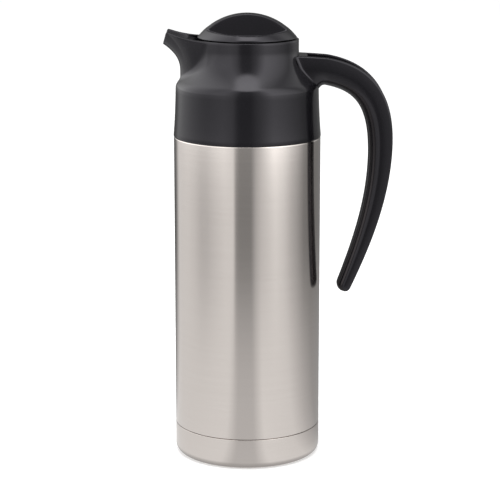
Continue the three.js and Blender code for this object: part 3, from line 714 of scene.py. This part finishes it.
# %% [markdown]
# ## Handle
# The handle is a hollow moulding, open along its outer side: a U section swept along a curve
# that leaves the collar level, bends down and swings back towards the body. Its depth and width
# shrink towards the tip. A loft does it: one closed section at each station of the curve,
# with the channel's depth running out to nothing at the root web and near the rounded tip.

# %% Handle curve and stations
HANDLE_X = 81.4
HANDLE_Z = RIM_Z - 18.1
BEND_DROP, TIP_DROP, TIP_INSET = 47.3, 91.3, 23.3
ROOT_DEPTH, BEND_DEPTH, TIP_DEPTH = 17.7, 14.6, 8.3
ROOT_WIDTH, TIP_WIDTH = 24.0, 19.0
RIM_WIDTH, BROW_ROUND = 2.8, 1.3
BEND_Z = HANDLE_Z - BEND_DROP
TIP = (HANDLE_X - TIP_INSET, BEND_Z - TIP_DROP)
upper_guides = [(28.35, HANDLE_Z), (NECK_OUT + 0.678 * (HANDLE_X - NECK_OUT), HANDLE_Z),
                (HANDLE_X, BEND_Z + 0.752 * BEND_DROP), (HANDLE_X, BEND_Z)]
lower_guides = [(HANDLE_X, BEND_Z), (HANDLE_X, BEND_Z - 0.363 * TIP_DROP),
                (TIP[0] + 0.489 * TIP_INSET, TIP[1] + 0.296 * TIP_DROP), TIP]
FINE = 400
upper_line, lower_line = curve(upper_guides, FINE), curve(lower_guides, FINE)
spine = np.concatenate([upper_line, lower_line[1:]])
spine_u = np.linspace(0, 2, 2 * FINE + 1)
spine_way = np.gradient(spine, axis=0)
spine_way /= np.linalg.norm(spine_way, axis=1)[:, None]
spine_length = np.concatenate([[0], np.cumsum(np.linalg.norm(np.diff(spine, axis=0), axis=1))])


def handle_station(u):
    """Centre, outward direction, half depth and half width of the section at u from 0 to 2."""
    at = np.array([np.interp(u, spine_u, spine[:, i]) for i in (0, 1)])
    way = np.array([np.interp(u, spine_u, spine_way[:, i]) for i in (0, 1)])
    out = np.array([-way[1], way[0]]) / np.linalg.norm(way)
    if u <= 1:
        depth = ROOT_DEPTH + (BEND_DEPTH - ROOT_DEPTH) * u * u
    else:
        depth = BEND_DEPTH + (TIP_DEPTH - BEND_DEPTH) * (u - 1)
    width = ROOT_WIDTH + (TIP_WIDTH - ROOT_WIDTH) * u / 2
    return at, out, depth / 2, width / 2


def handle_section(up, down, half, channel):
    """Half of the U section, from the channel's middle over the rim and side to the finger side's middle."""
    wide = half - RIM_WIDTH
    inner = min(1.8, 0.45 * channel + 0.01)
    lip = min(0.7, 0.3 * channel + 0.005)
    floor = up - channel
    a = np.linspace(0, math.pi / 2, 6)
    bed = np.stack([np.full(5, floor), np.linspace(0, wide - inner, 5)], 1)[:-1]
    heel = np.stack([floor + inner - inner * np.cos(a), wide - inner + inner * np.sin(a)], 1)
    rise = np.stack([np.linspace(floor + inner, up - lip, 4), np.full(4, wide)], 1)[1:-1]
    edge = np.stack([up - lip + lip * np.sin(a), wide + lip - lip * np.cos(a)], 1)
    brow = np.stack([up - BROW_ROUND * (1 - np.cos(a)), half - BROW_ROUND * (1 - np.sin(a))], 1)
    t = np.linspace(0, math.pi / 2, 17)
    belly = np.stack([0.2 * up - (down + 0.2 * up) * np.sin(t) ** 0.95, half * np.cos(t) ** 0.95], 1)
    return np.concatenate([bed, heel, rise, edge, brow, belly])


def whole_section(up, down, half, channel):
    right = handle_section(up, down, half, channel)
    left = right[-2:0:-1] * np.array([1.0, -1.0])
    return np.concatenate([right, left])


print("handle length along its middle, mm:", round(float(spine_length[-1]), 1))

# %% Root of the handle: fillets below and along its sides, and the channel's start
ROOT_GAP = 0.05
ROOT_X = 47.5
CHANNEL_SHARE = 0.5
CHANNEL_START, CHANNEL_STOP = 0.13, 1.885
FLARE_DEPTH, FLARE_LENGTH = 3.2, 4.8
TIP_ROUND = 4.6
FILLET = 1.6
root_u = float(np.interp(ROOT_X, spine[:FINE, 0], spine_u[:FINE]))


def channel_depth(u):
    """Full in the long middle, nothing in the root web and near the tip."""
    deep = handle_station(u)[2]
    start = np.clip((u - CHANNEL_START) / 0.02, 0, 1)
    stop = np.clip((CHANNEL_STOP - u) / 0.1, 0, 1)
    return 2 * deep * CHANNEL_SHARE * math.sin(start * math.pi / 2) * math.sin(stop * math.pi / 2) ** 0.7


def root_flare(x):
    return FLARE_DEPTH * np.clip(1 - (x - SHOULDER_FOOT[0]) / FLARE_LENGTH, 0, 1.5) ** 2


def root_row(share, away, swell):
    """A section that follows the collar's surface: at a share of the way out, or a distance away from it."""
    u = float(np.interp(40 + (ROOT_X - 40) * share, spine[:FINE, 0], spine_u[:FINE]))
    at, _, deep, half = handle_station(u)
    n, y = whole_section(deep, deep, half, channel_depth(u)).T
    side = (np.abs(y) / half) ** 8 * np.clip((n + 6) / 4, 0, 1)
    y = y + np.sign(y) * side * swell
    z = at[1] + n
    for _ in range(5):
        foot = np.sqrt(np.maximum(collar_radius(z) ** 2 - y ** 2, 0)) + ROOT_GAP
        x = foot + away + (ROOT_X - foot - away) * share
        z = at[1] + np.where(n < 0, n * (1 + root_flare(x) / deep), n)
    return np.stack([x, y, z], 1)


print("channel's depth at the bend, mm:", round(float(channel_depth(1.0)), 1))

# %% Loft the handle from the collar to the tip
bends = [(1 - math.cos(a), 1 - math.sin(a)) for a in np.linspace(0.1, 1.571, 9)]
rows = [root_row(0.0, FILLET * away, FILLET * swell) for away, swell in bends]
rows += [root_row(share, FILLET, 0.0) for share in (0.1, 0.17, 0.2, 0.23, 0.26, 0.3, 0.4, 0.6, 0.85)]
tip_start = float(np.interp(spine_length[-1] - TIP_ROUND, spine_length, spine_u))
body_u = np.concatenate([np.linspace(root_u, 1, 46), np.linspace(1, tip_start, 60)[1:]])
tip_share = np.sin(np.linspace(0, math.pi / 2, 12))[1:]
for u, tip_at in [(u, 0.0) for u in body_u] + [(tip_start, t) for t in tip_share]:
    if tip_at > 0:
        u = float(np.interp(spine_length[-1] - TIP_ROUND * (1 - tip_at), spine_length, spine_u))
    at, out, deep, half = handle_station(u)
    section = whole_section(deep, deep + root_flare(at[0]) * (u < 1), half, channel_depth(u))
    section[:, 0] *= math.sqrt(max(1 - tip_at ** 2, 0))
    section[:, 1] *= max(1 - tip_at ** 2.6, 0) ** (1 / 2.6)
    rows.append(np.stack([at[0] + out[0] * section[:, 0], section[:, 1], at[1] + out[1] * section[:, 0]], 1))
rows.insert(0, np.tile(rows[0].mean(0), (len(rows[0]), 1)))
dress(skin("black_handle", np.stack(rows), BLACK_PLASTIC), "vessel", "black_plastic", "handle")

# %% [markdown]
# ## Lid
# The lid is a shallow dome with two finger scoops that leave a ridge to turn it by.
# Seen from above it is a height map: the dome, less what the scoops take away. A grid that
# follows the ridge's faces keeps their steep walls clean, and its outer loop runs on
# as turned rows down the edge, under the brim and round the spigot.

# %% Height of the lid's top
LID_RADIUS = 30.2
DOME_RADIUS = 38.467
DOME_Z = 236.983
SCOOP_LIP = 27.38
SCOOP_Z = 261.8
SCOOP_LIP_Z = 264.0
SCOOP_SIDE_RISE = 2.5
SCOOP_FLAT = 0.45
SCOOP_BLEND, DOME_BLEND = 2.6, 0.5
RIDGE_HALF = 5.6
RIDGE_SPREAD = 3.0
RIDGE_EDGE = 0.8
RIDGE_SLOPE = math.tan(math.radians(79))


def ridge_face(x):
    return RIDGE_HALF + RIDGE_SPREAD * (x / SCOOP_LIP) ** 2


def lid_height(x, y):
    r = np.hypot(x, y)
    dome = DOME_Z + np.sqrt(np.maximum(DOME_RADIUS ** 2 - r ** 2, 0))
    bowl_t = np.clip((r / SCOOP_LIP - SCOOP_FLAT) / (1 - SCOOP_FLAT), 0, None)
    bowl = SCOOP_Z + (SCOOP_LIP_Z - SCOOP_Z) * bowl_t ** 1.8 + SCOOP_SIDE_RISE * (x / SCOOP_LIP) ** 2
    past = np.abs(y) - ridge_face(x)
    eased = np.clip(past + RIDGE_EDGE, 0, None)
    drop = RIDGE_SLOPE * np.where(past < RIDGE_EDGE, eased ** 2 / (4 * RIDGE_EDGE), past)
    scooped = soft_max(bowl, dome - drop, SCOOP_BLEND)
    return -soft_max(-dome, -scooped, DOME_BLEND)


print("lid's top and a scoop's floor, mm:", np.round(lid_height(0.0, np.array([0.0, 15.0])), 1).tolist())

# %% Grid of the lid, then its edge and underside
COLUMNS = 160
column_x = -LID_RADIUS * np.cos(np.linspace(0, math.pi, COLUMNS + 1))
half_y = []
for x in column_x:
    reach = math.sqrt(max(LID_RADIUS ** 2 - x * x, 0))
    face = ridge_face(x)
    stops = np.minimum([0.0, face - RIDGE_EDGE - 0.4, face + 3.2, LID_RADIUS], reach)
    stops[3] = reach
    half_y.append(np.concatenate([np.linspace(stops[i], stops[i + 1], n + 1)[:-1]
                                  for i, n in ((0, 8), (1, 26), (2, 34))] + [[reach]]))
half_y = np.array(half_y)
across = np.concatenate([-half_y[:, :0:-1], half_y], 1)
top_x = np.broadcast_to(column_x[:, None], across.shape)
top = np.stack([top_x, across, lid_height(top_x, across)], 2)
count, wide = top.shape[:2]
index = np.arange(count * wide).reshape(count, wide)
faces = np.stack([index[:-1, :-1], index[1:, :-1], index[1:, 1:], index[:-1, 1:]], 2).reshape(-1, 4).tolist()
loop = np.concatenate([index[:, 0], index[-2:0:-1, -1]])
loop_angle = np.arctan2(top.reshape(-1, 3)[loop, 1], top.reshape(-1, 3)[loop, 0])
under = rounded([
    (LID_RADIUS, 260.65), (LID_RADIUS, 260.4, 0.15), (26.5, 260.4, 0.3), (26.5, 258.4, 0.3),
    (20.7, 258.4, 0.2), (20.7, 255.7, 0.1), (19.5, 255.7), (19.5, 254.0), (20.7, 254.0, 0.1),
    (20.7, 252.4, 0.4), (18.5, 252.4, 0.4), (18.5, 259.4, 0.4), (0, 259.4)], closed=False, steps=3)
points = np.concatenate([top.reshape(-1, 3), ring_rows(under, loop_angle).reshape(-1, 3)])
ring = np.concatenate([loop[None], count * wide + np.arange(len(under) * len(loop)).reshape(len(under), -1)])
faces += quads(ring[:-1], ring[1:])
dress(solid_piece("black_lid", points, faces, BLACK_PLASTIC, crease=42.0), "lid", "black_plastic", "lid_dome")

# %% [markdown]
# ## Threads
# The stopper screws in on three short ridges that start a third of a turn apart.
# One Geometry Nodes tree makes both sides of the thread: a spiral with a trapezium swept along it,
# thinner at its ends, set on three points round the axis.

# %% The thread tree
def thread_tree():
    tree = Shaper("thread_ridges", {
        "Radius": "Float", "Turns": "Float", "Rise": "Float", "Starts": "Int", "Height": "Float",
        "Angle": "Float", "Finish": "Material"})
    section, radius, turns, rise = tree.take("Geometry", "Radius", "Turns", "Rise")
    starts, height, angle = tree.take("Starts", "Height", "Angle")
    spiral = tree.node("CurveSpiral", sockets={
        "Resolution": 160, "Rotations": turns, "Start Radius": radius, "End Radius": radius, "Height": rise})
    along = tree.node("SplineParameter", output="Factor")
    ends = tree.node("ShaderNodeMapRange", {"interpolation_type": "SMOOTHSTEP"}, {
        "Value": along.math("PINGPONG", 0.5), "From Min": 0.0, "From Max": 0.07,
        "To Min": 0.25, "To Max": 1.0})
    thinned = tree.node("SetCurveRadius", sockets={"Curve": spiral, "Radius": ends})
    upright = tree.node("SetCurveNormal", {"mode": "Z_UP"}, {"Curve": thinned})
    profile = tree.node("MeshToCurve", sockets={"Mesh": section})
    swept = tree.node("CurveToMesh", sockets={"Curve": upright, "Profile Curve": profile, "Fill Caps": True})
    places = tree.node("MeshCircle", sockets={"Vertices": starts, "Radius": 0.001})
    lift = tree.node("ShaderNodeCombineXYZ", sockets={"Z": height})
    centred = tree.node("SetPosition", sockets={"Geometry": places, "Position": lift})
    spin = tree.node("InputIndex") / starts * (2 * math.pi) + angle
    facing = tree.node("ShaderNodeCombineXYZ", sockets={"Z": spin})
    return tree.end(tree.node("InstanceOnPoints", sockets={
        "Points": centred, "Instance": swept, "Rotation": facing}))


THREADS = thread_tree()
THREAD_LEAD = 15.0
print("thread tree nodes:", len(THREADS.nodes))


def thread_ridges(name, radius, height, side, sweep, start_angle, start_z):
    """Three ridges on a wall: side is 1 for ridges that stand outward, -1 for inward ones."""
    section = [(-0.4 * side, -1.0), (height * side, -0.62), (height * side, 0.62), (-0.4 * side, 1.0)]
    mesh = bpy.data.meshes.new(name)
    mesh.from_pydata([(x * MM, z * MM, 0.0) for x, z in section], [(0, 1), (1, 2), (2, 3), (3, 0)], [])
    turns = sweep / 360
    values = {"Radius": radius * MM, "Turns": turns, "Rise": THREAD_LEAD * turns * MM, "Starts": 3,
              "Height": start_z * MM, "Angle": math.radians(start_angle), "Finish": INNER_PLASTIC}
    piece = from_tree(name, mesh, THREADS, values)
    tidy_mesh(piece.data, 30.0)
    return piece


# %% [markdown]
# ## Neck sleeve, seals and stopper
# Under the lid a plastic sleeve holds collar and vessel together and carries the inner thread.
# The stopper cup screws into it and presses a silicone ring on its ledge.
# All are turned pieces, and their threads ride along as pieces of their own.

# %% Neck sleeve with its thread
sleeve_line = rounded([
    (24.6, 229.2, 0.3), (26.8, 229.2, 0.3), (26.8, 241.0), (29.0, 241.0, 0.2), (29.0, 243.0, 0.4),
    (27.0, 243.0, 0.6), (27.0, 252.4, 0.5), (25.0, 252.4, 0.5), (25.0, 241.3, 0.3), (22.3, 241.3, 0.3),
    (22.3, 238.9, 0.2), (24.6, 238.9), (24.6, 233.8), (25.3, 232.8), (25.3, 231.6), (24.6, 230.6)])
dress(turned_piece("neck_sleeve_ring", sleeve_line, INNER_PLASTIC), "vessel", "inner_plastic", "neck_sleeve")
dress(thread_ridges("neck_sleeve_thread", 25.0, 1.4, -1, 130, 0.0, 245.6), "vessel", "inner_plastic")

# %% Stopper cup with its thread
cup_line = rounded([
    (0, 229.8), (21.0, 229.8, 1.2), (21.0, 240.1), (21.6, 240.5, 0.2), (21.6, 241.0, 0.2), (21.0, 241.0),
    (21.0, 243.0), (23.0, 243.0, 0.4), (23.0, 256.3, 0.4), (26.5, 256.3, 0.5), (26.5, 258.3, 0.4),
    (21.0, 258.3, 0.4), (21.0, 244.5, 0.5), (19.0, 243.0, 0.5), (19.0, 231.8, 0.6), (0, 231.8)], closed=False)
dress(turned_piece("stopper_cup_shell", cup_line, INNER_PLASTIC), "lid", "inner_plastic", "stopper_cup")
dress(thread_ridges("stopper_cup_thread", 23.0, 1.4, 1, 95, 26.4, 244.2), "lid", "inner_plastic")

# %% [markdown]
# ## Silicone, rubber, foam and the steel inside
# The seal and the neck's washer are pale silicone with a faint bloom, the other two rings black rubber,
# and the stopper's core is foam. The shell's bottom, the strap and the screws are plain steel,
# the getter is dull dark metal, and the bead on the port is dark glass.
# Most of these are hidden, but each gets a finish of its own, so that the part can be taken apart.

# %% Soft finishes
def soft_finish(name, dark, light, roughness, cells, depth, metallic=0.0):
    made = new_finish(name)
    grain = made.noise((cells, cells, cells), detail=3.0)
    return made.shade(Base_Color=made.blend(grain, dark, light), Metallic=metallic,
                      Roughness=grain * 0.12 + (roughness - 0.06), Normal=made.bump(grain, 0.2, depth))


SILICONE = soft_finish("silicone", (0.58, 0.57, 0.53), (0.68, 0.67, 0.63), 0.55, 900.0, 0.0001)
RUBBER = soft_finish("black_rubber", (0.016, 0.016, 0.016), (0.030, 0.030, 0.030), 0.75, 1500.0, 0.0001)
FOAM = soft_finish("foam", (0.62, 0.57, 0.44), (0.80, 0.76, 0.64), 0.95, 700.0, 0.0004)
PLAIN_STEEL = soft_finish("plain_steel", (0.52, 0.51, 0.49), (0.64, 0.63, 0.61), 0.34, 400.0, 0.00005, 1.0)
SCREW_STEEL = soft_finish("screw_steel", (0.40, 0.40, 0.39), (0.52, 0.52, 0.51), 0.38, 1200.0, 0.00005, 1.0)
GETTER = soft_finish("getter", (0.13, 0.13, 0.135), (0.20, 0.20, 0.21), 0.8, 1800.0, 0.0001, 0.4)
SEAL_BEAD = soft_finish("bead", (0.06, 0.075, 0.07), (0.10, 0.12, 0.11), 0.25, 300.0, 0.00005)
seal_line = rounded([
    (21.2, 241.4, 0.3), (23.2, 241.4, 0.3), (23.2, 242.2, 0.3), (22.7, 242.9, 0.3), (21.2, 242.9, 0.3)])
dress(turned_piece("silicone_plug_seal", seal_line, SILICONE), "seal", "silicone", "plug_seal")

# %% Finishes of the CAD nodes that stay
STAYING = {
    "shell_bottom": PLAIN_STEEL, "getter_strap": PLAIN_STEEL, "getter_capsule": GETTER,
    "seal_bead": SEAL_BEAD, "neck_gasket": SILICONE, "collar_gasket": RUBBER,
    "lid_oring": RUBBER, "stopper_foam": FOAM,
    "handle_screw_front": SCREW_STEEL, "handle_screw_back": SCREW_STEEL,
}
for node, finish in STAYING.items():
    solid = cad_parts[node]
    solid.data.materials.clear()
    solid.data.materials.append(finish)
print("CAD nodes kept with a finish:", len(STAYING))

# %% [markdown]
# ## Floor and light
# A product shot on white: a pale floor that keeps the soft shadow, a white surround, and a light
# tent close round the jug. Steel shows what stands round it, so the tent is what models the metal:
# bright walls left and right, a grey gap where the camera stands, a grey flag behind the handle,
# brighter panels above, one bright spot in the roof ahead of the jug, and a shade at the jug's foot.
# The tent is seen only in reflections, and the floor, the world and three soft lamps give the plain light.

# %% Floor
def seen_rays(made):
    """1 on rays from the camera and on mirrored or refracted ones, 0 on rays that only carry light."""
    labels = ("Is Camera Ray", "Is Glossy Ray", "Is Transmission Ray")
    first, second, third = (made.node("LightPath", output=label) for label in labels)
    return first + second + third


def pale_floor():
    made = new_finish("pale_floor")
    cloud = made.noise((3.0, 3.0, 3.0), detail=2.0)
    glow = made.node("Emission", sockets={"Strength": seen_rays(made) * 0.34})
    colour = made.blend(cloud, (0.80, 0.80, 0.80), (0.82, 0.82, 0.82))
    matt = made.node("BsdfDiffuse", sockets={"Color": colour})
    both = made.node("AddShader", sockets={0: matt, 1: glow})
    made.feed(made.tree.nodes["Material Output"].inputs["Surface"], both)
    return made.owner


FLOOR_HALF = 9.0
floor_mesh = bpy.data.meshes.new("floor")
floor_mesh.from_pydata([(-FLOOR_HALF, -FLOOR_HALF, 0), (FLOOR_HALF, -FLOOR_HALF, 0),
                        (FLOOR_HALF, FLOOR_HALF, 0), (-FLOOR_HALF, FLOOR_HALF, 0)], [], [(0, 1, 2, 3)])
floor_mesh.materials.append(pale_floor())
floor = bpy.data.objects.new("floor", floor_mesh)
bpy.context.collection.objects.link(floor)
print("floor:", 2 * FLOOR_HALF, "m square")

# %% World
world = Finish(bpy.data.worlds.new("white_surround"))
bpy.context.scene.world = world.owner
AMBIENT = 0.75
backdrop = world.tree.nodes["Background"]
backdrop.inputs["Color"].default_value = (1.0, 1.0, 1.0, 1.0)
world.feed(backdrop.inputs["Strength"], seen_rays(world) * (1 - AMBIENT) + AMBIENT)
print("world strength: 1 where seen,", AMBIENT, "as light")

# %% Light tent, seen only in reflections
TENT_RADIUS, TENT_TOP, TENT_PEAK = 0.8, 0.86, 2.1
FOOT_LEVEL, ROOF_LEVEL = 0.45, 3.5
FOOT_SPAN, RING_SPAN = (0.042, 0.052), (0.08, 0.78)  # metres from the axis
UPPER_SPAN, ROOF_START = (0.10, 0.27), 0.5  # metres up
SPOT_SPAN, SPOT_AHEAD, SPOT_SQUEEZE = (0.44, 0.25), 0.25, 1.15
WALL_LEVELS = [  # degrees from the camera, to the right, and the wall's level there
    (-180, 0.20), (-158, 0.10), (-146, 0.20), (-132, 0.80), (-104, 0.82), (-89, 0.74), (-74, 0.59),
    (-64, 0.59), (-50, 0.70), (-34, 0.83), (-21, 0.86), (-17, 0.31), (-12, 0.25), (6, 0.25), (13, 0.52),
    (21, 0.68), (44, 0.88), (57, 0.78), (70, 0.57), (83, 0.42), (97, 0.24), (115, 0.20), (155, 0.22),
    (180, 0.20)]
UPPER_LEVELS = [
    (-180, 0.13), (-160, 0.3), (-144, 1.0), (-124, 2.1), (-104, 2.15), (-64, 1.5), (-36, 1.75), (-22, 1.2),
    (-12, 0.4), (6, 0.4), (21, 1.0), (40, 2.6), (63, 2.1), (84, 1.4), (101, 0.66), (125, 0.95), (150, 0.18),
    (180, 0.13)]
RING_LEVELS = [
    (-180, 0.40), (-152, 0.30), (-129, 0.82), (-26, 0.90), (-13, 0.64), (8, 0.64), (21, 0.92), (63, 0.86),
    (89, 0.60), (115, 0.41), (155, 0.34), (180, 0.40)]


def tent_finish():
    made = new_finish("tent_wall")
    spot = made.node("TexCoord", output="Object")
    parts = made.node("SeparateXYZ", sockets={0: spot}).socket.node.outputs
    x, y, z = (Wire(made, parts[axis]) for axis in "XYZ")
    far = (x * x + y * y) ** 0.5
    turn = x.math("ARCTAN2", y * -1.0) / (2 * math.pi) + 0.5

    def around(levels):
        stops = [((at + 180) / 360, level) for at, level in levels]
        return made.node("ValToRGB", {"stops": stops}, {0: turn})

    def climb(below, above, length, span):
        limits = {"Value": length, "From Min": span[0], "From Max": span[1]}
        share = made.node("MapRange", {"interpolation_type": "SMOOTHSTEP"}, limits)
        return made.node("Mix", {"data_type": "RGBA"}, {0: share, 6: below, 7: above}, output=2)

    ring = climb(grey(FOOT_LEVEL), around(RING_LEVELS), far, FOOT_SPAN)
    walls = climb(ring, around(WALL_LEVELS), far, RING_SPAN)
    level = climb(walls, around(UPPER_LEVELS), z, UPPER_SPAN)
    ahead = y + SPOT_AHEAD
    aside = x * SPOT_SQUEEZE
    low = z.math("LESS_THAN", ROOF_START)
    level = climb(level, grey(ROOF_LEVEL), (aside * aside + ahead * ahead) ** 0.5 + low, SPOT_SPAN)
    glow = made.node("Emission", sockets={"Color": level})
    made.feed(made.tree.nodes["Material Output"].inputs["Surface"], glow)
    return made.owner


tent_line = [(42.4, 0.4), (TENT_RADIUS / MM, 0.6), (TENT_RADIUS / MM, TENT_TOP / MM), (0.0, TENT_PEAK / MM)]
tent = turned_piece("light_tent", tent_line, tent_finish(), columns=96)
for ray in ("camera", "diffuse", "transmission", "volume_scatter", "shadow"):
    setattr(tent, "visible_" + ray, False)
print("light tent:", len(tent.data.polygons), "faces, seen only in reflections")

# %% Soft lamps
LAMPS = [  # name, place in metres, aimed at, size in metres, power in watts
    ("top_panel", (0.0, -0.2, 2.4), (0.0, 0.0, 0.2), 1.4, 35.0),
    ("left_panel", (-1.3, -0.8, 0.9), (0.0, 0.0, 0.15), 0.9, 6.0),
    ("right_panel", (1.2, -1.0, 0.8), (0.0, 0.0, 0.15), 0.8, 4.0),
]
for name, place, aim, size, power in LAMPS:
    lamp = bpy.data.lights.new(name, "AREA")
    lamp.shape = "SQUARE"
    lamp.size = size
    lamp.energy = power
    stand = bpy.data.objects.new(name, lamp)
    stand.location = place
    to_aim = np.array(aim) - np.array(place)
    flat = math.hypot(to_aim[0], to_aim[1])
    stand.rotation_euler = (math.atan2(flat, -to_aim[2]), 0.0, math.atan2(to_aim[1], to_aim[0]) - math.pi / 2)
    bpy.context.collection.objects.link(stand)
print("lamps:", [name for name, *_ in LAMPS])
